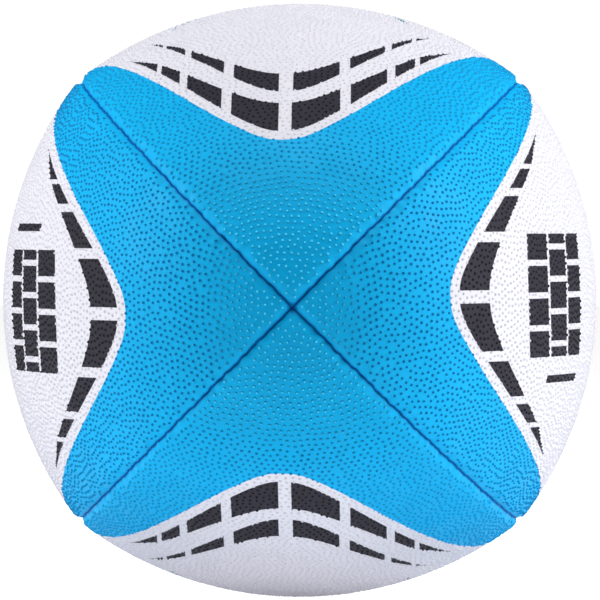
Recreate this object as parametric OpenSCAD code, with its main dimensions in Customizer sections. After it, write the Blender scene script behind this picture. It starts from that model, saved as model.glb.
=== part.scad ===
// Rugby ball, size 5, built as the real ball is: four panels of pimpled rubber on cotton
// plies, turned in along their edges and sewn from the inside round an inflated bladder.
//
// The origin is the centre of the ball and Y runs from tip to tip. The middles of the four
// panels face +X (right), +Z (top), -X (left) and -Z (bottom), so the seams lie at 45
// degrees. Each panel is drawn facing +X and is then turned to its own side.

/* [Ball] */
// Length from tip to tip
ball_length = 290; // [284:1:296]
// Width across the middles of two opposite panels
ball_width = 186.4; // [184:0.2:190]
// Radius of the rounded ends
tip_radius = 68; // [64:1:72]
// How far beyond the ball's axis each panel's curve is centred, which squares the section
squareness = 20; // [12:1:22]

/* [Panels] */
// Thickness of the rubber face, without its pimples
rubber_t = 1; // [0.8:0.1:1.2]
// Thickness of one cotton ply
ply_t = 0.55; // [0.45:0.05:0.6]
// Film of cement between two layers
cement_t = 0.05; // [0.03:0.01:0.08]
// Half of the gap between two panels in a seam
seam_gap = 0.05; // [0.03:0.01:0.1]
// How far the turned-in edges reach under the surface
turn_in = 5.2; // [5.2:0.1:6]

/* [Stitching] */
// Diameter of the waxed thread
thread_d = 0.8; // [0.6:0.1:0.8]
// Diameter of the holes that the awl makes
awl_d = 1; // [1:0.05:1.2]
// Depth of the stitches under the surface
stitch_depth = 4; // [3.8:0.1:4]
// Distance from one stitch to the next
stitch_pitch = 6; // [5.5:0.5:9]
// Length of seam left unsewn before each tip
unsewn_end = 11; // [10:1:16]

/* [Bladder] */
// Thickness of the bladder's wall
bladder_t = 0.6; // [0.5:0.1:0.8]
// Dusting film round the bladder
bladder_gap = 0.1; // [0.05:0.05:0.2]

/* [Valve] */
// Diameter of the valve's neck, which fills the hole in the panel
neck_d = 8; // [7:0.5:9]
// Diameter of the collar that holds the valve against the bladder's patch
collar_d = 18; // [16:1:20]
// Thickness of the collar
collar_t = 1.6; // [1.4:0.1:2]
// Diameter of the bulb that hangs inside the bladder
bulb_d = 11; // [9:0.5:12]
// Depth of the valve from the ball's surface to the end of its bulb
valve_depth = 24; // [22:1:28]
// Diameter of the fabric disc behind the panel's hole
backing_d = 26; // [24:1:30]
// Thickness of the fabric disc
backing_t = 0.45; // [0.4:0.05:0.6]
// Diameter of the rubber patch inside the bladder
patch_d = 22; // [20:1:24]
// Thickness of the rubber patch
patch_t = 0.8; // [0.6:0.1:1]
// Diameter of the plug's head
plug_head_d = 6.8; // [6:0.2:6.8]
// Thickness of the plug's head
plug_head_t = 1.2; // [1:0.1:1.5]
// Diameter of the plug's stem
plug_stem_d = 5; // [4.6:0.1:5.2]
// Length of the plug with its head
plug_length = 17.4; // [16:0.2:18]
// Diameter of the hole for the inflating needle
needle_d = 2.1; // [2:0.1:2.3]
// Radial clearance of the plug in the valve
plug_clearance = 0.05; // [0.03:0.01:0.08]

/* [Hidden] */
SIDES = ["right", "top", "left", "bottom"];
SEAMS = ["top_right", "top_left", "bottom_left", "bottom_right"];
TOP = 1;

rubber_color = "deepskyblue";
ply_color = "wheat";
thread_color = "ivory";
bladder_color = "dimgray";
fabric_color = "tan";
valve_color = "gray";
plug_color = "whitesmoke";

// The lengthwise outline is an oval of two arcs: a long one at the side, a short one at
// the tip. They meet where both have the same normal.
half_length = ball_length / 2;
half_width = ball_width / 2;
tip_centre = half_length - tip_radius;
side_radius = (pow(half_width, 2) + pow(tip_centre, 2) - pow(tip_radius, 2))
    / (2 * (half_width - tip_radius));
side_centre = half_width - side_radius;
meet_angle = atan2(tip_centre, -side_centre);
side_bands = 8;
tip_bands = 6;
degree = PI / 180;

// Depths of the layers under the surface
ply_step = ply_t + cement_t;
first_ply = rubber_t + cement_t;
laminate = first_ply + 3 * ply_step - cement_t;
rail_reach = laminate + seam_gap + cement_t + thread_d;
backing_depth = laminate + cement_t;
dimple_depth = backing_depth + backing_t;
patch_depth = dimple_depth + bladder_gap + bladder_t + cement_t;
collar_depth = patch_depth + patch_t + cement_t;

// Heights along the valve's axis, from the centre of the ball
panel_middle = side_centre + side_radius * cos(meet_angle / side_bands / 2);
valve_top = panel_middle - 0.1;
valve_end = panel_middle - valve_depth;
plug_end = valve_top - plug_length;
chamber_end = plug_end - 2;
neck_fit = 0.15;
slit_w = 0.4;
slit_l = 4;
beyond = 20;
reach = half_width + beyond;

half_side_arc = side_radius * meet_angle * degree;
half_seam = half_side_arc + tip_radius * (90 - meet_angle) * degree - unsewn_end;
half_stitches = floor(half_seam / stitch_pitch);

// Directions of the outline's normal at which its corners lie, from tip to tip. The middle
// band is flat lengthwise, and the valve sits in it.
side_step = meet_angle / side_bands;
tip_angles = [for (i = [0:tip_bands]) meet_angle + i * (90 - meet_angle) / tip_bands];
outline_angles = concat(
    [for (i = [tip_bands:-1:0]) -tip_angles[i]],
    [for (i = [-side_bands:side_bands - 1]) (i + 0.5) * side_step],
    tip_angles
);

// Point of the outline, as [distance from the axis, y], where its normal has this angle
function oval(angle, depth) = abs(angle) <= meet_angle
    ? [side_centre + (side_radius - depth) * cos(angle), (side_radius - depth) * sin(angle)]
    : [(tip_radius - depth) * cos(angle), sign(angle) * tip_centre + (tip_radius - depth) * sin(angle)];

// Distance of a panel's surface from the ball's axis at its seam, given that at its middle
function at_seam(r) = sqrt(pow(r + squareness, 2) - pow(squareness, 2) / 2) - squareness / sqrt(2);

// Direction of the outline's normal at this distance along it from the middle of the ball
function normal_at(s) = abs(s) <= half_side_arc
    ? s / side_radius / degree
    : sign(s) * (meet_angle + (abs(s) - half_side_arc) / tip_radius / degree);

// Point of a seam, as [distance from the axis, y]
function seam_point(s, depth) = let (p = oval(normal_at(s), depth)) [at_seam(p.x), p.y];

module to_side(side) rotate([0, -90 * side, 0]) children();

module to_seam(seam) rotate([0, -90 * seam - 45, 0]) children();

module lengthwise() rotate([-90, 0, 0]) children();

// Round bar along the valve's axis, between two heights
module post(d, low, high) rotate([0, 90, 0]) rotate(25) translate([0, 0, low]) cylinder(d = d, h = high - low);

// Body under a panel's surface, turned about the axis of the panel's own curve
module panel_form(depth) {
    corners = [for (angle = outline_angles) oval(angle, depth) + [squareness, 0]];
    tip = half_length - depth;
    translate([-squareness, 0, 0]) lengthwise()
        rotate_extrude(angle = 90, start = -45)
            polygon(concat([[0, -tip]], corners, [[0, tip]]));
}

// The quarter of space that faces one side, kept clear of the two seam planes
module quarter(clear) {
    apex = clear * sqrt(2);
    rotate([90, 0, 0]) linear_extrude(ball_length + beyond, center = true)
        polygon([[apex, 0], [reach, apex - reach], [reach, reach - apex]]);
}

module panel_block(depth, clear) {
    intersection() {
        panel_form(depth);
        quarter(clear);
    }
}

// Round body that the turned-in edges end at
module core(depth) {
    lengthwise() rotate_extrude() polygon([for (angle = outline_angles) oval(angle, depth)]);
}

// Bars across a seam where the stitches pass, in the seam's own plane
module stitch_bars(d, half) {
    for (i = [-half_stitches:half_stitches])
        translate(seam_point(i * stitch_pitch, stitch_depth)) cylinder(d = d, h = 2 * half, center = true);
}

// One layer of a panel: a shell whose long edges turn inwards along the seam planes
module layer(depth, thickness) {
    below = depth + thickness;
    difference() {
        panel_block(depth, depth + seam_gap);
        panel_block(below, below + seam_gap);
        core(turn_in);
        for (edge = [-1, 1]) rotate([0, edge * 45, 0]) stitch_bars(awl_d, laminate + 1);
    }
}

module valve_hole() post(neck_d + 2 * neck_fit, 0, reach);

// A layer on its own side, with the hole for the valve in the top panel
module placed_layer(side, depth, thickness) {
    to_side(side) difference() {
        layer(depth, thickness);
        if (side == TOP) valve_hole();
    }
}

module cover(side) color(rubber_color) placed_layer(side, 0, rubber_t);

module ply(side, number) color(ply_color) placed_layer(side, first_ply + number * ply_step, ply_t);

// Thread of one seam: stitches through both edges, joined along each side by a rail
module seam_thread(seam) {
    s_list = [for (i = [-half_stitches:half_stitches]) i * stitch_pitch];
    high = [for (s = s_list) seam_point(s, stitch_depth - thread_d / 2)];
    low = [for (i = [len(s_list) - 1:-1:0]) seam_point(s_list[i], stitch_depth + thread_d / 2)];
    color(thread_color) to_seam(seam) {
        stitch_bars(thread_d * 0.9, rail_reach - thread_d / 2);
        for (face = [-rail_reach, rail_reach - thread_d])
            translate([0, 0, face]) linear_extrude(thread_d) polygon(concat(high, low));
    }
}

// The space that the bladder fills: the core, and the hollow of each panel between its
// edges, pushed in at the valve by the fabric disc
module bladder_form(skin) {
    difference() {
        union() {
            core(turn_in + skin);
            for (side = [0:3]) to_side(side) panel_block(laminate + skin, rail_reach + skin);
        }
        to_side(TOP) difference() {
            post(backing_d + 2 * neck_fit + 2 * skin, half_width / 2, reach);
            panel_form(dimple_depth + skin);
        }
    }
}

module bladder() {
    color(bladder_color) difference() {
        bladder_form(bladder_gap);
        bladder_form(bladder_gap + bladder_t);
        to_side(TOP) valve_hole();
    }
}

// Disc that follows the curve of the top panel, with a hole for the valve
module curved_disc(d, depth, thickness) {
    to_side(TOP) difference() {
        intersection() {
            post(d, half_width / 2, reach);
            panel_form(depth);
        }
        panel_form(depth + thickness);
        valve_hole();
    }
}

module valve_backing() color(fabric_color) curved_disc(backing_d, backing_depth, backing_t);

module valve_patch() color(bladder_color) curved_disc(patch_d, patch_depth, patch_t);

module valve_housing() {
    collar_low = panel_middle - collar_depth - collar_t;
    color(valve_color) to_side(TOP) difference() {
        union() {
            post(neck_d, collar_low, valve_top);
            post(bulb_d, valve_end, collar_low + collar_t / 2);
            intersection() {
                post(collar_d, collar_low, reach);
                panel_form(collar_depth);
            }
        }
        post(plug_stem_d + 2 * plug_clearance, chamber_end, reach);
        post(plug_head_d + 2 * plug_clearance, valve_top - plug_head_t - plug_clearance, reach);
        translate([valve_end, 0, 0]) cube([beyond / 2, slit_l, slit_w], center = true);
    }
}

module valve_plug() {
    color(plug_color) to_side(TOP) difference() {
        union() {
            post(plug_stem_d, plug_end, valve_top);
            post(plug_head_d, valve_top - plug_head_t, valve_top);
        }
        post(needle_d, plug_end - 1, reach);
    }
}

for (i = [0:3]) {
    cover(i);
    ply(i, 0);
    ply(i, 1);
    ply(i, 2);
    seam_thread(i);
}
bladder();
valve_backing();
valve_patch();
valve_housing();
valve_plug();
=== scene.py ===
import math

import bpy
import numpy as np
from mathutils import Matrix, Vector
from mathutils.geometry import delaunay_2d_cdt


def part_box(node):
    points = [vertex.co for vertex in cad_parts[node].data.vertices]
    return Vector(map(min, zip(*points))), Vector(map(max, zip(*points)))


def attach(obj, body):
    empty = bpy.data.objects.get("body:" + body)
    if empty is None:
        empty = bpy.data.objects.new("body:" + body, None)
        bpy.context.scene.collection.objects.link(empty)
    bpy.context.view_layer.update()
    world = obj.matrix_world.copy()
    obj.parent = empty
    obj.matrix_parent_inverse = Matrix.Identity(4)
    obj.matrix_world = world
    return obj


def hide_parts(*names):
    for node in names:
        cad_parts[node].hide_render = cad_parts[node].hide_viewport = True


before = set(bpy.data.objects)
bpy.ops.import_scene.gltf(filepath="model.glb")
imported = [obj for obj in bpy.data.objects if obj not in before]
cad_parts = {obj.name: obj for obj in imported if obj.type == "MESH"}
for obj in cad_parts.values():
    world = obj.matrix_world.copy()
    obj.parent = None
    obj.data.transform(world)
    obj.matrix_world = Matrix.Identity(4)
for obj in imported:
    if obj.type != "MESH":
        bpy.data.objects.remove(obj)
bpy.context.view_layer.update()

MM = 0.001
SIDES = ("right", "top", "left", "bottom")
SEAMS = ("top_right", "top_left", "bottom_left", "bottom_right")
TOP = 1

# The ball, from the frame where it can be
HALF_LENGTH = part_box("cover_right")[1][1] / MM
PANEL_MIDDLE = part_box("cover_right")[1][0] / MM
TIP_RADIUS = 68.0
SQUARENESS = 20.0
TIP_CENTRE = HALF_LENGTH - TIP_RADIUS
SIDE_RADIUS = (PANEL_MIDDLE**2 + TIP_CENTRE**2 - TIP_RADIUS**2) / (2 * (PANEL_MIDDLE - TIP_RADIUS))
SIDE_CENTRE = PANEL_MIDDLE - SIDE_RADIUS
MEET = math.atan2(TIP_CENTRE, -SIDE_CENTRE)
SIDE_ARC = SIDE_RADIUS * MEET
HALF_ARC = SIDE_ARC + TIP_RADIUS * (math.pi / 2 - MEET)

# Layers of a panel
RUBBER_T = 1.0
PLY_T = 0.55
CEMENT_T = 0.05
SEAM_GAP = 0.05
TURN_IN = 5.2
VALVE_HOLE_R = 4.15

# Points between the two tips in the tables of the map
MAP_POINTS = 8001

# Rounded edge of a panel: its width from the seam, the depth it falls, the sine of the angle
# that it turns through, and the least width and fall that are left on a deep layer
ROUND_W = 3.6
ROUND_D = 1.5
ROUND_TURN = 0.87
LEAST_ROUND_W = 0.4
LEAST_ROUND_D = 0.2
# Distance from a layer's edge within which its depth turns to run along the seam's plane
LEAN_REACH = 3.0

# The pit where the four seams meet
PIT_R = 1.1
PIT_DEPTH = 1.3

# Stitches: how far they pull a seam sideways and draw in the faces beside it, both together
# and each on its own, with the periods of each, the distance over which each dies away from the
# seam, and the distance from a tip within which they fade
STITCH_PITCH = 6.0
SWAY = 0.14
SWAY_PERIODS = (STITCH_PITCH, STITCH_PITCH / 1.83, 17.0)
SWAY_REACH = 3.5
PUCKER_BOTH = 0.17
BOTH_PERIODS = (STITCH_PITCH, STITCH_PITCH / 1.7)
PUCKER_OWN = 0.09
OWN_PERIODS = (STITCH_PITCH * 0.83, 9.0)
PUCKER_REACH = 2.2
PULL_FADE = 7.0

# Pimples: their sizes, the spread and the limits of these from pimple to pimple, and how far
# they stay from a seam and from the valve hole
PIMPLE_SPACING = 2.13
PIMPLE_R = 0.57
PIMPLE_TOP_R = 0.28
PIMPLE_H = 0.40
SIZE_SPREAD, SMALLEST, LARGEST = 0.07, 0.82, 1.12
HEIGHT_SPREAD, SHORTEST, TALLEST = 0.12, 0.7, 1.3
PIMPLE_MARGIN = 1.3
PIMPLE_FROM_VALVE = 1.6
FOOT_POINTS = 5
TOP_POINTS = 4
# How the pimples are spread: a random start, then rounds of pushing the close ones apart
JITTER = 0.28
ROUNDS = 7
PUSHES = 6
PUSH_REACH = 0.96
PUSH_SHARE = 0.3

# Mesh: steps round the valve hole and along the edge of a cover and of a ply, rings of the
# rounded edge on a face with pimples and on a plain one, as shares of its width, rings of the
# hole's edge, as distance and depth, levels of the turned-in edge, as shares of its depth, and
# the spacing of the plain points
HOLE_STEPS = 48
EDGE_STEPS = 430
PLY_STEPS = 150
FINE = (0, 0.03, 0.08, 0.15)
COARSE = (0, 0.3, 1)
HOLE_EDGE = ((0, 0.3), (0.15, 0.1), (0.45, 0))
TURN_LEVELS = (0.3, 0.65, 1)
COVER_SPACING = 7.0
PLY_SPACING = 5.0


# ---------------------------------------------------------------- shape of a panel


def outline(u):
    """At arc length u from the middle of the ball towards a tip: the angle of the normal, the
    distance from the panel's own axis, and the height along the ball."""
    far = np.sign(u) * (MEET + (np.abs(u) - SIDE_ARC) / TIP_RADIUS)
    on_side = np.abs(u) <= SIDE_ARC
    t = np.where(on_side, u / SIDE_RADIUS, far)
    r = np.where(on_side, SIDE_CENTRE + SIDE_RADIUS * np.cos(t), TIP_RADIUS * np.cos(t))
    y = np.where(on_side, SIDE_RADIUS * np.sin(t), np.sign(u) * TIP_CENTRE + TIP_RADIUS * np.sin(t))
    return t, r + SQUARENESS, y


# A panel is drawn on a flat map that keeps angles: q lengthwise and psi, the angle about the
# panel's axis, across. The distance rho from that axis is the map's scale.
U_TABLE = np.linspace(-HALF_ARC, HALF_ARC, MAP_POINTS)
RHO_TABLE = outline(U_TABLE)[1]
Q_TABLE = np.cumsum(1 / RHO_TABLE) * (U_TABLE[1] - U_TABLE[0])
Q_TABLE -= (Q_TABLE[0] + Q_TABLE[-1]) / 2
SEAM_R_TABLE = np.sqrt(RHO_TABLE**2 - SQUARENESS**2 / 2) - SQUARENESS / math.sqrt(2)
SEAM_TABLE = np.arcsin(SEAM_R_TABLE / math.sqrt(2) / RHO_TABLE)
TILT_TABLE = np.hypot(1, np.gradient(SEAM_TABLE, Q_TABLE))


def map_q(u):
    """From arc length to its place on the map."""
    return np.interp(u, U_TABLE, Q_TABLE)


def map_u(q):
    """From a place on the map to its arc length."""
    return np.interp(q, Q_TABLE, U_TABLE)


def edge_angle(u, w):
    """Angle psi of the line at distance w from the seam."""
    seam, tilt = np.interp(u, U_TABLE, SEAM_TABLE), np.interp(u, U_TABLE, TILT_TABLE)
    return seam - w * tilt / outline(u)[1]


def from_edge(u, psi):
    """Distance of a point from the nearer seam."""
    seam, tilt = np.interp(u, U_TABLE, SEAM_TABLE), np.interp(u, U_TABLE, TILT_TABLE)
    return (seam - np.abs(psi)) * outline(u)[1] / tilt


def to_tip(u, psi):
    """Distance of a point from the nearer tip."""
    return np.hypot(HALF_ARC - np.abs(u), psi * outline(u)[1])


def apex(w):
    """How far towards the tip the line at distance w from the seam goes."""
    ahead = U_TABLE > 0
    room = (SEAM_TABLE - w * TILT_TABLE / RHO_TABLE)[ahead]
    last = MAP_POINTS // 4
    return float(np.interp(0, -room[-last:], U_TABLE[ahead][-last:]))


def ring(w, steps):
    """Loop of points at distance w from a panel's edge, anticlockwise on the map, as [u, psi]."""
    u = apex(w) * np.linspace(-1, 1, steps + 1)
    psi = np.maximum(edge_angle(u, w), 0)
    psi[[0, -1]] = 0
    there = np.stack([u, -psi], 1)
    back = np.stack([u, psi], 1)[-2:0:-1]
    return np.concatenate([there, back])


def tip_fade(u):
    """0 at the tips and 1 along most of the ball."""
    x = np.clip((HALF_ARC - np.abs(u)) / PULL_FADE, 0, 1)
    return x * x * (3 - 2 * x)


def wave(seed, u, periods):
    """Sum of sine waves of the given periods, each started at random."""
    rng = np.random.default_rng(seed)
    return sum(np.sin(2 * math.pi * u / p + rng.uniform(0, 2 * math.pi)) for p in periods)


def sway(seam, u):
    """How far a seam wanders sideways, as the stitches pull it."""
    return SWAY * wave(10 + seam, u, SWAY_PERIODS) * tip_fade(u)


def pucker(seam, side, u):
    """How far the face beside a seam is drawn in by the stitches."""
    both = wave(20 + seam, u, BOTH_PERIODS)
    own = wave(30 + 4 * seam + side, u, OWN_PERIODS)
    return (PUCKER_BOTH * both + PUCKER_OWN * own) * tip_fade(u)


def place(side, u, psi, w, depth, near):
    """Points in space. w is the distance from the seam, depth how deep the point lies, and near
    the distance from the seam at which its layer turns inwards."""
    t, rho, y = outline(u)
    p = np.stack([rho * np.cos(psi) - SQUARENESS, y, rho * np.sin(psi)], 1)
    n = np.stack([np.cos(t) * np.cos(psi), np.sin(t), np.cos(t) * np.sin(psi)], 1)
    s = np.where(psi < 0, -1.0, 1.0)
    across = np.stack([-np.ones_like(s), np.zeros_like(s), s], 1) / math.sqrt(2)
    along = n - np.sum(n * across, 1)[:, None] * across
    along /= np.linalg.norm(along, axis=1)[:, None]
    lean = np.clip(1 - (w - near) / LEAN_REACH, 0, 1)[:, None]
    down = n + (along - n) * lean
    down /= np.linalg.norm(down, axis=1)[:, None]
    up = psi >= 0
    other = (side - 1) % 4
    fade = np.clip(1 - depth / TURN_IN, 0, 1)
    shift = np.where(up, sway(side, u), sway(other, u)) * np.exp(-w / SWAY_REACH) * fade
    drawn = np.where(up, pucker(side, side, u), pucker(other, side, u))
    drawn = drawn * np.exp(-w / PUCKER_REACH) * fade
    pit = PIT_DEPTH * np.exp(-((to_tip(u, psi) / PIT_R) ** 2)) * fade
    p = p - down * (depth + drawn + pit)[:, None] + across * (s * shift)[:, None]
    x, y, z = p.T
    turned = ((x, y, z), (-z, y, x), (-x, y, -z), (z, y, -x))[side]
    return np.stack(turned, 1)


# ---------------------------------------------------------------- points on a panel


def triangulate(u, psi, loops):
    """Triangles between points on the map. Each loop is a range of points kept as a border."""
    points = [Vector(p) for p in zip(map_q(u).tolist(), psi.tolist())]
    edges = []
    for start, stop in loops:
        edges += [(i, i + 1) for i in range(start, stop - 1)] + [(stop - 1, start)]
    out, _, faces, _, _, _ = delaunay_2d_cdt(points, edges, [], 1, 1e-8)
    if len(out) != len(points):
        raise ValueError("points of a panel coincide")
    faces = np.array(faces)
    for start, stop in loops[1:]:
        in_hole = ((faces >= start) & (faces < stop)).all(1)
        faces = faces[~in_hole]
    return faces


def rows(spacing, margin, rng=None):
    """Points in rows over a panel, each row started at random, as u and psi."""
    reach = apex(margin)
    us, psis = [], []
    for u in np.arange(-reach, reach, spacing * math.sqrt(3) / 2):
        rho = float(outline(np.array(u))[1])
        half = max(float(edge_angle(np.array(u), margin)), 0)
        first = rng.uniform(0, 1) if rng else 0.5
        psi = np.arange(-half + first * spacing / rho, half, spacing / rho)
        us.append(np.full(len(psi), u))
        psis.append(psi)
    return np.concatenate(us), np.concatenate(psis)


def scatter(spacing, margin, hole, rng):
    """Points spread at random over a panel and pushed apart until none are close."""
    u, psi = rows(spacing, margin / 2, rng)
    rho = outline(u)[1]
    q = map_q(u) + rng.normal(0, JITTER * spacing, len(u)) / rho
    psi = psi + rng.normal(0, JITTER * spacing, len(u)) / rho
    for _ in range(ROUNDS):
        points = [Vector(p) for p in zip(q.tolist(), psi.tolist())]
        pairs = np.array(delaunay_2d_cdt(points, [], [], 0, 1e-9)[1])
        if pairs.max() >= len(q):
            raise ValueError("pimples coincide")
        a, b = pairs.T
        for _ in range(PUSHES):
            scale = outline(map_u(q))[1]
            gap = np.stack([q[b] - q[a], psi[b] - psi[a]], 1) * scale[a][:, None]
            length = np.maximum(np.linalg.norm(gap, axis=1), 1e-6)
            push = np.clip(PUSH_REACH * spacing - length, 0, None) / length * PUSH_SHARE
            move = gap * push[:, None] / scale[a][:, None]
            for value, step in ((q, move[:, 0]), (psi, move[:, 1])):
                value -= np.bincount(a, step, len(q))
                value += np.bincount(b, step, len(q))
    u = map_u(q)
    keep = (from_edge(u, psi) > margin) & (np.hypot(u, psi * outline(u)[1]) > hole)
    return u[keep], psi[keep]


def pimples(side, rng):
    """The rings of points that make the pimples, as u, psi and lift."""
    hole = VALVE_HOLE_R + PIMPLE_FROM_VALVE if side == TOP else 0
    u, psi = scatter(PIMPLE_SPACING, PIMPLE_MARGIN, hole, rng)
    q, rho = map_q(u), outline(u)[1]
    turn = rng.uniform(0, 2 * math.pi, len(u))
    size = np.clip(rng.normal(1, SIZE_SPREAD, len(u)), SMALLEST, LARGEST)
    height = PIMPLE_H * np.clip(rng.normal(1, HEIGHT_SPREAD, len(u)), SHORTEST, TALLEST)
    out = []
    rings = ((FOOT_POINTS, PIMPLE_R, 0 * height), (TOP_POINTS, PIMPLE_TOP_R, height))
    for count, radius, lift in rings:
        angle = turn[:, None] + 2 * math.pi * np.arange(count) / count
        grow = (size * radius / rho)[:, None]
        ring_q = (q[:, None] + grow * np.cos(angle)).ravel()
        ring_psi = (psi[:, None] + grow * np.sin(angle)).ravel()
        out.append(np.stack([map_u(ring_q), ring_psi, np.repeat(lift, count)], 1))
    return np.concatenate(out)


def round_size(depth):
    """Width and fall of the rounded edge of a layer that lies at this depth."""
    return max(ROUND_W - depth, LEAST_ROUND_W), max(ROUND_D - depth, LEAST_ROUND_D)


def fall(w, near, depth):
    """How far a layer's face has fallen at distance w from the seam, towards its rounded edge."""
    a, b = round_size(depth)
    x = np.clip((near + a - w) / a, 0, 1)
    whole = 1 - math.sqrt(1 - ROUND_TURN**2)
    return b * (1 - np.sqrt(1 - (ROUND_TURN * x) ** 2)) / whole


def face(side, depth, steps, shares, filling):
    """One face of a layer: its points as [u, psi, w, depth], its triangles, and the ranges of its
    edge and of its hole. filling holds the points inside the rings, as [u, psi, lift]."""
    near = depth + SEAM_GAP
    parts = []
    for share in shares:
        w = near + round_size(depth)[0] * share
        loop = ring(w, steps)
        w = np.full(len(loop), w)
        parts.append(np.column_stack([loop, w, fall(w, near, depth)]))
    loops = [(0, len(parts[0]))]
    if side == TOP:
        start = sum(len(p) for p in parts)
        angle = 2 * math.pi * np.arange(HOLE_STEPS) / HOLE_STEPS
        for radius, drop in HOLE_EDGE:
            r = VALVE_HOLE_R + radius
            u = r * np.cos(angle)
            psi = r * np.sin(angle) / outline(u)[1]
            drop = np.full(HOLE_STEPS, drop if depth == 0 else 0.0)
            parts.append(np.column_stack([u, psi, from_edge(u, psi), drop]))
        loops.append((start, start + HOLE_STEPS))
    u, psi, lift = filling.T
    w = from_edge(u, psi)
    parts.append(np.column_stack([u, psi, w, fall(w, near, depth) - lift]))
    points = np.concatenate(parts)
    points[:, 3] += depth
    return points, triangulate(points[:, 0], points[:, 1], loops), loops


def plain_filling(side, depth, spacing):
    """Even points inside the rings of a face without pimples, as [u, psi, lift]."""
    margin = depth + SEAM_GAP + round_size(depth)[0] + spacing * 0.6
    u, psi = rows(spacing, margin)
    if side == TOP:
        keep = np.hypot(u, psi * outline(u)[1]) > VALVE_HOLE_R + HOLE_EDGE[-1][0] + spacing * 0.5
        u, psi = u[keep], psi[keep]
    return np.column_stack([u, psi, np.zeros(len(u))])


def strip(a, b):
    """Triangles of the wall between two rings of points."""
    a2, b2 = np.roll(a, -1), np.roll(b, -1)
    return np.concatenate([np.stack([a, b, b2], 1), np.stack([a, b2, a2], 1)])


def layer(side, depth, thickness, steps, shares, filling, spacing):
    """Closed mesh of one layer of a panel, with its edges turned inwards along the seams. Gives
    the points in space, the triangles, how many of those are on the outside, the points on the
    panel as [u, psi, w, depth], and the same for the inside's own map."""
    below = depth + thickness
    outer, outer_faces, outer_loops = face(side, depth, steps, shares, filling)
    plain = plain_filling(side, below, spacing)
    inner, inner_faces, inner_loops = face(side, below, steps, COARSE, plain)
    near, near_in = depth + SEAM_GAP, below + SEAM_GAP
    top_out, top_in = depth + round_size(depth)[1], below + round_size(below)[1]
    points = [outer]
    count = len(outer)
    walls = []
    last = np.arange(*outer_loops[0])
    sides = ((outer[last], top_out, 1), (inner[: len(last)], top_in, -1))
    for source, top, way in sides:
        levels = [top + (TURN_IN - top) * share for share in TURN_LEVELS][::way]
        for level in levels:
            deeper = source.copy()
            deeper[:, 3] = level
            points.append(deeper)
            fresh = np.arange(count, count + len(last))
            walls.append(strip(last, fresh))
            last = fresh
            count += len(last)
    points.append(inner)
    inner_start = count
    walls.append(strip(last, inner_start + np.arange(*inner_loops[0])))
    if side == TOP:
        hole = np.arange(*outer_loops[1])
        walls.append(strip(inner_start + np.arange(*inner_loops[1]), hole))
    points = np.concatenate(points)
    rings = len(TURN_LEVELS)
    is_inner = np.arange(len(points)) >= len(outer) + rings * len(last)
    nears = np.where(is_inner, near_in, near)
    xyz = place(side, *points.T, nears)
    faces = np.concatenate([outer_faces] + walls[: rings + 1])
    inside = np.concatenate(walls[rings + 1 :] + [inner_start + inner_faces[:, ::-1]])
    return xyz, np.concatenate([faces, inside]), len(faces), points


# The sheet that the UV map is laid out on: its side, half of a panel's width, and the depth
# from which the turned-in edge is folded out
UV_SHEET = 400.0
UV_HALF_WIDTH = 75.0
UV_FOLD = 1.2


def flat_uv(points, row):
    """Places on a neat sheet for a layer's points: the outside in the lower half and the inside
    in the upper half. The turned-in edges are folded out."""
    u, psi, _, depth = points.T
    v = psi * outline(u)[1]
    out = np.stack([u / HALF_ARC**2, v / UV_HALF_WIDTH**2], 1)
    out /= np.maximum(np.linalg.norm(out, axis=1), 1e-9)[:, None]
    fold = np.clip(depth - UV_FOLD, 0, None)[:, None] * out
    place_uv = (np.stack([u, v], 1) + fold) / UV_SHEET
    return place_uv + np.array([0.5, 0.25 + 0.5 * row])


def crisp_feet(mesh, start, count):
    """Keeps the rubber between the pimples flat in the light. The pimples' lowest rings begin at
    point start."""
    ends = np.empty(2 * len(mesh.edges), np.int32)
    mesh.edges.foreach_get("vertices", ends)
    ends = ends.reshape(-1, 2) - start
    on_feet = ((ends >= 0) & (ends < FOOT_POINTS * count)).all(1)
    at_foot = on_feet & (ends[:, 0] // FOOT_POINTS == ends[:, 1] // FOOT_POINTS)
    sharp = mesh.attributes.new("sharp_edge", "BOOLEAN", "EDGE")
    sharp.data.foreach_set("value", at_foot)


def make_object(name, xyz, faces, outside, points, attributes=()):
    """Object with smooth shading, its UV map, and the named values that its material reads."""
    mesh = bpy.data.meshes.new(name)
    mesh.from_pydata((xyz * MM).tolist(), [], faces.tolist())
    uv = mesh.uv_layers.new(name="OFBake")
    corner = faces.ravel()
    low, high = flat_uv(points, 0)[corner], flat_uv(points, 1)[corner]
    is_out = np.repeat(np.arange(len(faces)) < outside, 3)[:, None]
    uv.data.foreach_set("uv", np.where(is_out, low, high).ravel().astype(np.float32))
    for key, values in attributes:
        data = mesh.attributes.new(key, "FLOAT", "POINT").data
        data.foreach_set("value", np.asarray(values, np.float32))
    mesh.shade_smooth()
    mesh.validate()
    obj = bpy.data.objects.new(name, mesh)
    bpy.context.scene.collection.objects.link(obj)
    return obj


# ---------------------------------------------------------------- printed pattern

# Curves of the print: (|u| / length)^power + (v' / width)^power = 1, each as length, width and
# power. v' is |v| rounded off near 0, by END_ROUNDING, so that the curves' ends aren't pointed.
BLUE_EDGE = (135.0, 62.3, 1.315)
ROW_1 = ((131.3, 58.9, 1.29), (117.0, 57.2, 1.35))
ROW_2 = ((110.6, 49.5, 1.29), (99.5, 49.6, 1.33))
END_ROUNDING = 6.0
# Blocks of a row, from the middle of the panel outwards; the last one ends in a point
BLOCKS_1 = ((1.9, 16.1), (19.2, 30.3), (32.8, 39.1), (40.7, 51.5))
BLOCKS_2 = ((2.1, 15.8), (18.9, 29.6), (31.7, 38.2), (39.6, 44.6))
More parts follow.
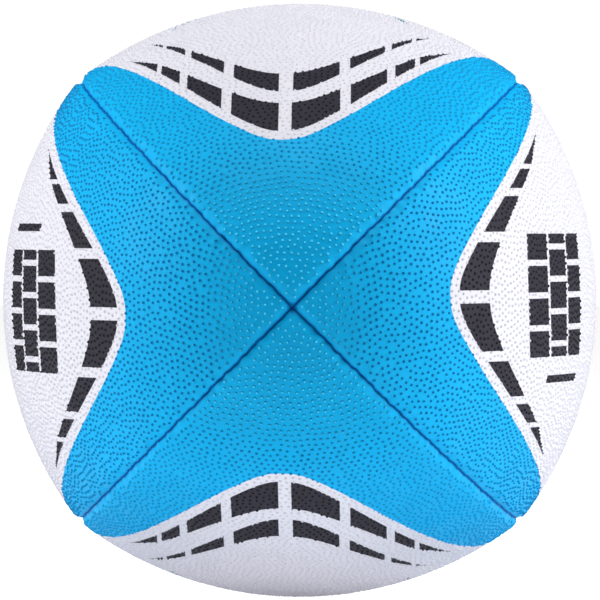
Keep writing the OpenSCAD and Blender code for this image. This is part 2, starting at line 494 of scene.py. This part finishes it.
# The print doesn't sit quite alike on the four panels: shift along and across
PRINT_SHIFT = ((4.2, 2.6), (0.3, 2.6), (-0.4, 2.4), (-0.2, -2.7))
# Bricks on the side panels: middles of their columns, half of a column's width, the length of a
# brick with its joint, half of the joint, and the bend round the tip
BRICK_COLUMNS = (87.0, 71.0, 55.0)
BRICK_HALF_W = 7.2
BRICK_PITCH = 9.75
HALF_JOINT = 0.9
BRICK_BEND = 0.012
# Bar beside them: middle lengthwise, distance from the panel's middle line, half of its sizes
BAR_ALONG, BAR_ACROSS = 59.0, 25.5
BAR_HALF_LENGTH, BAR_HALF_WIDTH = 15.0, 1.2
# Thin arcs: distance from the middle line, bend, half of their length and of their width
ARC_ACROSS, ARC_BEND = 30.0, 0.0104
ARC_HALF_LENGTH, ARC_HALF_WIDTH = 28.0, 0.5
# Half of the width over which the print's edge softens
SOFT = 0.1


class Field:
    """A number that varies over a surface, worked out by the material's Math nodes."""

    def __init__(self, tree, socket):
        self.tree, self.socket = tree, socket

    def do(self, operation, other=0.0):
        """The result of one Math node on this number and another."""
        node = self.tree.nodes.new("ShaderNodeMath")
        node.operation = operation
        for slot, value in zip(node.inputs, (self, other)):
            if isinstance(value, Field):
                self.tree.links.new(value.socket, slot)
            else:
                slot.default_value = value
        return Field(self.tree, node.outputs[0])

    def __add__(self, other):
        return self.do("ADD", other)

    def __sub__(self, other):
        return self.do("SUBTRACT", other)

    def __rsub__(self, other):
        return self.do("MULTIPLY", -1.0).do("ADD", other)

    def __mul__(self, other):
        return self.do("MULTIPLY", other)

    def __truediv__(self, other):
        return self.do("DIVIDE", other)

    def __pow__(self, other):
        return self.do("POWER", other)

    def size(self):
        return self.do("ABSOLUTE")

    def root(self):
        return self.do("SQRT")

    def least(self, other):
        return self.do("MINIMUM", other)

    def most(self, other):
        return self.do("MAXIMUM", other)


def inside_curve(u, v, curve):
    """Distance inside one of the print's curves, negative outside it."""
    length, width, power = curve
    reach = (v * v + END_ROUNDING**2).root()
    au = (u.size() / length).most(1e-4)
    av = ((reach - END_ROUNDING) / width).most(1e-4)
    slope_u = au ** (power - 1) * (power / length)
    slope_v = av ** (power - 1) * (v.size() / reach) * (power / width)
    slope = (slope_u * slope_u + slope_v * slope_v).root().most(1e-4)
    return (1 - (au**power + av**power)) / slope


def blocks(u, v, row, spans):
    """Distance inside the blocks of one row."""
    outer, inner = inside_curve(u, v, row[0]), 0 - inside_curve(u, v, row[1])
    across = v.size()
    best = None
    for start, stop in spans:
        span = (across - start).least(stop - across)
        best = span if best is None else best.most(span)
    start, stop = spans[-1]
    left = ((stop - across) / (stop - start)).most(0).least(1)
    return best.least(outer).least((outer + inner) * left - outer)


def bricks(u, v):
    """Distance inside three columns of plain blocks, laid like bricks, that curve round a tip."""
    along = u.size() + v * v * BRICK_BEND
    across = v.size()
    half = BRICK_PITCH / 2
    best = None
    for number, middle in enumerate(BRICK_COLUMNS):
        offset = half * (number % 2)
        centre = (across + offset).do("MODULO", BRICK_PITCH) - half
        block = (half - HALF_JOINT) - centre.size()
        block = block.least(BRICK_HALF_W - (along - middle).size())
        best = block if best is None else best.most(block)
    return best.least(2 * BRICK_PITCH - HALF_JOINT - across)


def side_bar(u, v):
    """Distance inside a plain thin bar beside the bricks, where the real ball has small text."""
    across = (v - u.do("SIGN") * BAR_ACROSS).size()
    return (BAR_HALF_WIDTH - across).least(BAR_HALF_LENGTH - (u.size() - BAR_ALONG).size())


def arcs(u, v):
    """Distance inside the two thin arcs across the middle of a panel."""
    line = (v.size() - (u * u * ARC_BEND + ARC_ACROSS)).size()
    return (ARC_HALF_WIDTH - line).least(ARC_HALF_LENGTH - u.size())


# ---------------------------------------------------------------- materials

WHITE = (0.69, 0.685, 0.75, 1)
BLUE = (0.001, 0.40, 0.765, 1)
INK = (0.027, 0.025, 0.036, 1)
TEAL = (0.02, 0.20, 0.26, 1)
RAW = (0.62, 0.60, 0.55, 1)
# On the blue: painted shade on a pimple's top, a painted highlight on one near a tip, and painted
# shade in the crease beside a seam
PAINTED_SHADE_TOP = (0.0, 0.12, 0.34, 1)
PAINTED_HIGHLIGHT_TOP = (0.06, 0.68, 1.0, 1)
CREASE_SHADE = (0.0, 0.11, 0.40, 1)
# How far below the rounded edge the print ends, and how the painted shade in the crease widens at a
# tip
PRINT_DEPTH = 0.9
CREASE_START, CREASE_SLOPE = 0.5, 0.6
# How dark the painted shade on the pimples' tops is, and how far from the ball's middle it turns
# to a painted highlight, on the panels with bricks and on those with two rows
BRICK_TOP_SHADE = (1.0, 160.0)
ROW_TOP_SHADE = (0.5, 140.0)


def print_and_shade_places(side, points, first_top, last_top):
    """What the print, and the painted shade and highlight beside the seams and on the pimples,
    need to know at each point of a panel.
    """
    u, psi, w, depth = points.T
    shift_u, shift_v = PRINT_SHIFT[side]
    v = psi * outline(u)[1] - shift_v
    tip = np.maximum(to_tip(u, psi) - CREASE_START, 0) * CREASE_SLOPE
    crease = np.where(depth < ROUND_D + PRINT_DEPTH, np.minimum(w, tip), -1.0)
    pimple = np.zeros(len(u))
    pimple[first_top:last_top] = 1
    return (("along", u + shift_u), ("across", v), ("crease", crease), ("pimple", pimple))


def add(tree, kind, inputs=None, **settings):
    """A new node, with its inputs set or linked."""
    node = tree.nodes.new("ShaderNode" + kind)
    for key, value in settings.items():
        setattr(node, key, value)
    for key, value in (inputs or {}).items():
        if isinstance(value, bpy.types.NodeSocket):
            tree.links.new(value, node.inputs[key])
        else:
            node.inputs[key].default_value = value
    return node


def blend_colours(tree, factor, a, b):
    """Colour a where factor is 0, and b where it is 1."""
    node = add(tree, "Mix", data_type="RGBA")
    factor = factor.socket if isinstance(factor, Field) else factor
    for socket, value in ((node.inputs[0], factor), (node.inputs[6], a), (node.inputs[7], b)):
        if isinstance(value, bpy.types.NodeSocket):
            tree.links.new(value, socket)
        else:
            socket.default_value = value
    return node.outputs[2]


def shade(colour, share):
    """The colour made darker."""
    return tuple(share * c for c in colour[:3]) + (1,)


def ramp(tree, value, low, high, to_low=0.0, to_high=1.0):
    """A smooth step from to_low, where value is low, to to_high, where it is high."""
    value = value.socket if isinstance(value, Field) else value
    inputs = {"Value": value, "From Min": low, "From Max": high}
    inputs.update({"To Min": to_low, "To Max": to_high})
    node = add(tree, "MapRange", inputs, interpolation_type="SMOOTHSTEP")
    return Field(tree, node.outputs[0])


def new_material(name, roughness, specular):
    """A material with its node tree and shader, whose even values are set on the shader."""
    material = bpy.data.materials.new(name)
    material.use_nodes = True
    tree = material.node_tree
    shader = tree.nodes["Principled BSDF"]
    shader.inputs["Roughness"].default_value = roughness
    shader.inputs["Specular IOR Level"].default_value = specular
    return material, tree, shader


def noise(tree, coords, scale, detail):
    """Noise from 0 to 1, with scale in lumps per metre."""
    node = add(tree, "TexNoise", {"Vector": coords, "Scale": scale, "Detail": detail})
    return Field(tree, node.outputs["Fac"])


def set_bump(tree, shader, height, distance):
    """Bumps the shader's surface by height times distance, in metres."""
    bump = add(tree, "Bump", {"Height": height.socket, "Distance": distance})
    tree.links.new(bump.outputs[0], shader.inputs["Normal"])


def attribute(tree, name):
    """A value that print_and_shade_places stored on the mesh."""
    return Field(tree, add(tree, "Attribute", attribute_name=name).outputs["Fac"])


def printed_rubber(name, two_rows):
    """Matt pimpled rubber with its print, painted shade beside the seams, and unprinted inside.
    The pimples' tops carry painted shade; near the tips the blue ones have instead a painted
    highlight on their tops and painted shade on their sides. Two panels
    carry two rows of blocks and thin arcs, the other two one row, bricks and a thin bar."""
    material, tree, shader = new_material(name, 0.6, 0.1)
    coords = add(tree, "TexCoord").outputs["Object"]
    u, v, crease = (attribute(tree, key) for key in ("along", "across", "crease"))
    jag = (noise(tree, coords, 900, 2) - 0.5) * 0.2
    blue_mask = jag - inside_curve(u, v, BLUE_EDGE)
    dark_mask = blocks(u, v, ROW_1, BLOCKS_1)
    if two_rows:
        dark_mask = dark_mask.most(blocks(u, v, ROW_2, BLOCKS_2))
    else:
        dark_mask = dark_mask.most(bricks(u, v)).most(side_bar(u, v))
    mottle = noise(tree, coords, 55, 4)
    pimple = attribute(tree, "pimple")
    top_shade, change = ROW_TOP_SHADE if two_rows else BRICK_TOP_SHADE
    # Painted shade: the tops of the blue pimples are darkened along the ball, fading out near the
    # tips
    shaded_top = pimple * ramp(tree, u.size(), change, change + 20.0, top_shade, 0.0)
    colour = blend_colours(tree, mottle, WHITE, shade(WHITE, 0.94))
    # Painted shade on the pimples' tops on the white
    colour = blend_colours(tree, pimple * top_shade, colour, shade(WHITE, 0.80))
    blue = blend_colours(tree, mottle, BLUE, shade(BLUE, 0.88))
    blue = blend_colours(tree, shaded_top, blue, PAINTED_SHADE_TOP)
    # Painted shade on the sides of the blue pimples near the tips
    flank_shade = ramp(tree, u.size(), change - 20.0, change + 10.0, 0.6, 3.2)
    flank_shade = (pimple - pimple * pimple) * flank_shade
    blue = blend_colours(tree, flank_shade, blue, shade(BLUE, 0.42))
    # Painted highlight on the tops of the blue pimples near the tips
    highlight_top = ramp(tree, u.size(), change + 2.0, change + 22.0, 0.0, 0.7)
    blue = blend_colours(tree, pimple * pimple * highlight_top, blue, PAINTED_HIGHLIGHT_TOP)
    # Painted shade on the pimples' tops in the ink
    ink = blend_colours(tree, pimple, INK, shade(INK, 0.12))
    colour = blend_colours(tree, ramp(tree, blue_mask, -SOFT, SOFT), colour, blue)
    colour = blend_colours(tree, ramp(tree, dark_mask + jag, -SOFT, SOFT), colour, ink)
    if two_rows:
        teal = ramp(tree, arcs(u, v) + jag, -SOFT, SOFT)
        colour = blend_colours(tree, teal, colour, TEAL)
    # Painted shade in the crease beside each seam
    deep = ramp(tree, crease, 0.10, 0.85, 0.85, 0.0)
    colour = blend_colours(tree, deep, colour, CREASE_SHADE)
    unprinted = ramp(tree, crease, -0.5, -0.2, 1.0, 0.0)
    colour = blend_colours(tree, unprinted, colour, RAW)
    tree.links.new(colour, shader.inputs["Base Color"])
    rough = ramp(tree, noise(tree, coords, 120, 3), 0.2, 0.8, 0.52, 0.68)
    rough = rough - (pimple - shaded_top) * 0.33
    tree.links.new(rough.socket, shader.inputs["Roughness"])
    set_bump(tree, shader, noise(tree, coords, 2600, 2), 0.00004)
    return material


def weave_of(tree, coords, scale):
    """Height of a plain weave."""
    threads = []
    for direction in ("X", "Y"):
        inputs = {"Vector": coords, "Scale": scale, "Distortion": 0.4}
        node = add(tree, "TexWave", inputs, bands_direction=direction)
        threads.append(Field(tree, node.outputs["Fac"]))
    return threads[0].most(threads[1])


def cotton():
    """Plain-woven cotton, stiff with cement."""
    material, tree, shader = new_material("cotton_ply", 0.85, 0.2)
    coords = add(tree, "UVMap", uv_map="OFBake").outputs[0]
    weave = weave_of(tree, coords, 190.0)
    colour = blend_colours(tree, weave, (0.42, 0.37, 0.27, 1), (0.72, 0.66, 0.52, 1))
    object_coords = add(tree, "TexCoord").outputs["Object"]
    stain = ramp(tree, noise(tree, object_coords, 30, 4), 0.35, 0.7)
    colour = blend_colours(tree, stain, colour, (0.60, 0.52, 0.36, 1))
    tree.links.new(colour, shader.inputs["Base Color"])
    set_bump(tree, shader, weave, 0.0001)
    return material


def woven_fabric(name, dark, light):
    """Plain-woven fabric in two colours."""
    material, tree, shader = new_material(name, 0.8, 0.25)
    coords = add(tree, "TexCoord").outputs["Object"]
    weave = weave_of(tree, coords, 500.0)
    tree.links.new(blend_colours(tree, weave, dark, light), shader.inputs["Base Color"])
    set_bump(tree, shader, weave, 0.0001)
    return material


def waxed_thread():
    """Twisted thread, with the twist across the seams' length."""
    material, tree, shader = new_material("waxed_thread", 0.45, 0.5)
    coords = add(tree, "TexCoord").outputs["Object"]
    wave_inputs = {"Vector": coords, "Scale": 420.0, "Distortion": 1.5, "Detail": 1.0}
    node = add(tree, "TexWave", wave_inputs, bands_direction="DIAGONAL")
    twist = Field(tree, node.outputs["Fac"])
    colour = blend_colours(tree, twist, (0.60, 0.52, 0.36, 1), (0.88, 0.83, 0.70, 1))
    tree.links.new(colour, shader.inputs["Base Color"])
    set_bump(tree, shader, twist, 0.00015)
    return material


def moulded_rubber(name, dark, light, roughness, bump):
    """Plain rubber, dusted with talc."""
    material, tree, shader = new_material(name, roughness, 0.4)
    coords = add(tree, "TexCoord").outputs["Object"]
    dust = ramp(tree, noise(tree, coords, 60, 5), 0.4, 0.75)
    tree.links.new(blend_colours(tree, dust, dark, light), shader.inputs["Base Color"])
    rough = ramp(tree, dust, 0.0, 1.0, roughness, min(roughness + 0.2, 1))
    tree.links.new(rough.socket, shader.inputs["Roughness"])
    set_bump(tree, shader, noise(tree, coords, 900, 3), bump)
    return material


def floor_material():
    """Pale floor that lights the ball a little from below, and looks white to the camera."""
    material, tree, shader = new_material("pale_floor", 0.9, 0.1)
    shader.inputs["Base Color"].default_value = (0.92, 0.92, 0.93, 1)
    seen = add(tree, "LightPath").outputs["Is Camera Ray"]
    shader.inputs["Emission Color"].default_value = (1, 1, 1, 1)
    glow = ramp(tree, seen, 0.0, 1.0, FLOOR_LIGHT, FLOOR_SEEN)
    tree.links.new(glow.socket, shader.inputs["Emission Strength"])
    return material


# ---------------------------------------------------------------- pieces


def make_cover(side, material):
    """The rubber face of one panel."""
    rng = np.random.default_rng(100 + side)
    filling = pimples(side, rng)
    built = layer(side, 0.0, RUBBER_T, EDGE_STEPS, FINE, filling, COVER_SPACING)
    count = len(filling) // (FOOT_POINTS + TOP_POINTS)
    at_hole = len(HOLE_EDGE) * HOLE_STEPS if side == TOP else 0
    feet = len(FINE) * 2 * EDGE_STEPS + at_hole
    tops = feet + FOOT_POINTS * count
    places = print_and_shade_places(side, built[3], tops, tops + TOP_POINTS * count)
    cover = make_object(f"pimpled_panel_{SIDES[side]}", *built, places)
    cover.data.materials.append(material)
    crisp_feet(cover.data, feet, count)
    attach(cover, "ball")
    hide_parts(f"cover_{SIDES[side]}")


def make_ply(side, number, word, material):
    """One cotton ply behind a panel's rubber, numbered from the outside."""
    depth = RUBBER_T + CEMENT_T + number * (PLY_T + CEMENT_T)
    filling = plain_filling(side, depth, PLY_SPACING)
    built = layer(side, depth, PLY_T, PLY_STEPS, COARSE, filling, PLY_SPACING)
    ply = make_object(f"cotton_{word}_{SIDES[side]}", *built)
    ply.data.materials.append(material)
    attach(ply, "ball")
    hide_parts(f"{word}_ply_{SIDES[side]}")


def paint_node(name, material):
    """Gives a CAD node that keeps its shape a finished material."""
    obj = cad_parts[name]
    obj.data.materials.clear()
    obj.data.materials.append(material)


def make_pieces():
    """Every piece of the ball, with its material."""
    with_bricks = printed_rubber("rubber_bricks", False)
    with_rows = printed_rubber("rubber_rows", True)
    ply = cotton()
    for side in range(len(SIDES)):
        make_cover(side, with_rows if side % 2 else with_bricks)
        for number, word in enumerate(("outer", "middle", "inner")):
            make_ply(side, number, word, ply)
    thread = waxed_thread()
    for seam in SEAMS:
        paint_node(f"seam_thread_{seam}", thread)
    dark, light = (0.035, 0.035, 0.037, 1), (0.16, 0.16, 0.16, 1)
    black = moulded_rubber("bladder_rubber", dark, light, 0.55, 0.00008)
    paint_node("bladder", black)
    paint_node("valve_patch", black)
    dark, light = (0.30, 0.24, 0.16, 1), (0.58, 0.50, 0.38, 1)
    paint_node("valve_backing", woven_fabric("backing_fabric", dark, light))
    dark, light = (0.05, 0.05, 0.052, 1), (0.12, 0.12, 0.12, 1)
    paint_node("valve_housing", moulded_rubber("valve_rubber", dark, light, 0.5, 0.00005))
    dark, light = (0.62, 0.62, 0.60, 1), (0.72, 0.72, 0.70, 1)
    paint_node("valve_plug", moulded_rubber("plug_rubber", dark, light, 0.45, 0.00004))


# ---------------------------------------------------------------- stage

# Light that the floor and the world give, and how bright the camera sees them
FLOOR_LIGHT, FLOOR_SEEN = 0.28, 0.90
WORLD_LIGHT, WORLD_SEEN = 0.03, 1.05
FLOOR_HALF = 6.0
# Softboxes: name, place, size and power
SIDE_BOX, TOP_BOX = (0.4, 0.7), (0.6, 0.6)
SOFTBOXES = (
    ("left_softbox", (-1.15, -0.17, 0.50), SIDE_BOX, 12.1),
    ("right_softbox", (1.15, -0.17, 0.50), SIDE_BOX, 14.8),
    ("top_softbox", (0.0, -0.3, 1.2), TOP_BOX, 9.8),
)
# The camera looks at the middle of the ball. Its sensor and focal length are in millimetres.
CAMERA_AZIMUTH, CAMERA_ELEVATION = math.radians(0.868), math.radians(0.81)
CAMERA_DISTANCE = 1.5
SENSOR_WIDTH, FOCAL_LENGTH = 36.0, 284.436


def make_floor():
    """Floor under the tallest pimple of the bottom panel."""
    mesh = bpy.data.meshes.new("floor")
    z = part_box("cover_bottom")[0][2] - TALLEST * PIMPLE_H * MM
    corners = [(x * FLOOR_HALF, y * FLOOR_HALF, z) for x, y in ((-1, -1), (1, -1), (1, 1), (-1, 1))]
    mesh.from_pydata(corners, [], [(0, 1, 2, 3)])
    floor = bpy.data.objects.new("floor", mesh)
    bpy.context.scene.collection.objects.link(floor)
    mesh.materials.append(floor_material())


def make_light(name, place_at, size, power):
    """A white softbox that faces the middle of the ball."""
    data = bpy.data.lights.new(name, "AREA")
    data.shape = "RECTANGLE"
    data.size, data.size_y = size
    data.energy = power
    light = bpy.data.objects.new(name, data)
    bpy.context.scene.collection.objects.link(light)
    light.location = place_at
    light.rotation_euler = (-Vector(place_at)).to_track_quat("-Z", "Y").to_euler()


def make_world():
    """White for the camera, and dimmer as a light."""
    world = bpy.data.worlds.new("studio")
    bpy.context.scene.world = world
    world.use_nodes = True
    tree = world.node_tree
    tree.nodes.clear()
    seen = add(tree, "LightPath").outputs["Is Camera Ray"]
    dim = add(tree, "Background", {"Color": (1, 1, 1, 1), "Strength": WORLD_LIGHT})
    bright = add(tree, "Background", {"Color": (1, 1, 1, 1), "Strength": WORLD_SEEN})
    mix = add(tree, "MixShader", {"Fac": seen})
    tree.links.new(dim.outputs[0], mix.inputs[1])
    tree.links.new(bright.outputs[0], mix.inputs[2])
    output = add(tree, "OutputWorld")
    tree.links.new(mix.outputs[0], output.inputs["Surface"])


def make_camera():
    """The camera, at the photograph's angle."""
    data = bpy.data.cameras.new("camera")
    data.sensor_width = SENSOR_WIDTH
    data.lens = FOCAL_LENGTH
    camera = bpy.data.objects.new("camera", data)
    bpy.context.scene.collection.objects.link(camera)
    flat = math.cos(CAMERA_ELEVATION)
    away = Vector((
        flat * math.sin(CAMERA_AZIMUTH),
        -flat * math.cos(CAMERA_AZIMUTH),
        math.sin(CAMERA_ELEVATION),
    ))
    camera.location = away * CAMERA_DISTANCE
    camera.rotation_euler = (-away).to_track_quat("-Z", "Y").to_euler()
    bpy.context.scene.camera = camera


make_pieces()
make_floor()
for softbox in SOFTBOXES:
    make_light(*softbox)
make_world()
make_camera()
bpy.context.scene.view_settings.view_transform = "Standard"
